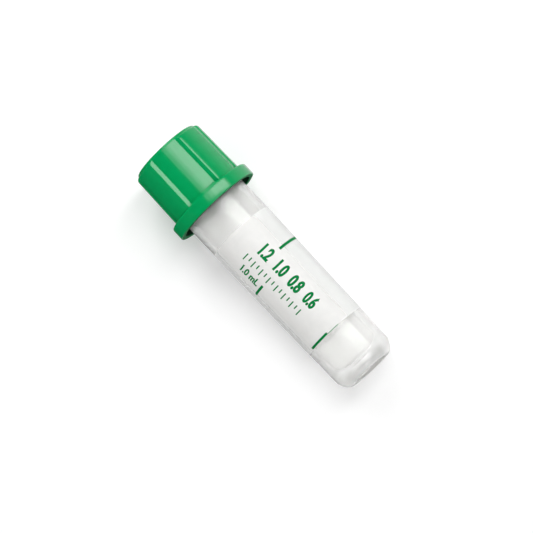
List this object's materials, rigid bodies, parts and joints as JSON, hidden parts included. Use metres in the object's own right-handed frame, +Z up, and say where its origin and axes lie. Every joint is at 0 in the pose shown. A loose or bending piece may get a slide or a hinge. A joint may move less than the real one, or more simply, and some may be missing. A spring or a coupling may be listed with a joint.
{
  "type": "blood collection tube",
  "caption": "Small clear blood collection tube lying on its side, with a wrap-round label and a green ribbed closure that pulls straight off its mouth.",
  "frame": {"origin": "on the ground under the middle of the lying tube's box", "axes": "+X towards the foot of the tube, +Z up; the tube's own axis leans 3.97 degrees, closure end up, in the XZ plane"},
  "size_m": [0.0468, 0.015, 0.0151],
  "materials": {
    "clear_plastic": "clear, smooth and slightly hazy",
    "label_film": "satin film with white panels and green print",
    "green_plastic": "satin moulded"
  },
  "bodies": {
    "tube": {"tube": "clear_plastic", "label": "label_film"},
    "closure": {"closure": "green_plastic"}
  },
  "joints": [
    {"name": "closure_pull", "type": "slide", "parent": "tube", "child": "closure", "axis": [-0.9976, 0, 0.0693], "range_m": [0, 0.03]}
  ]
}
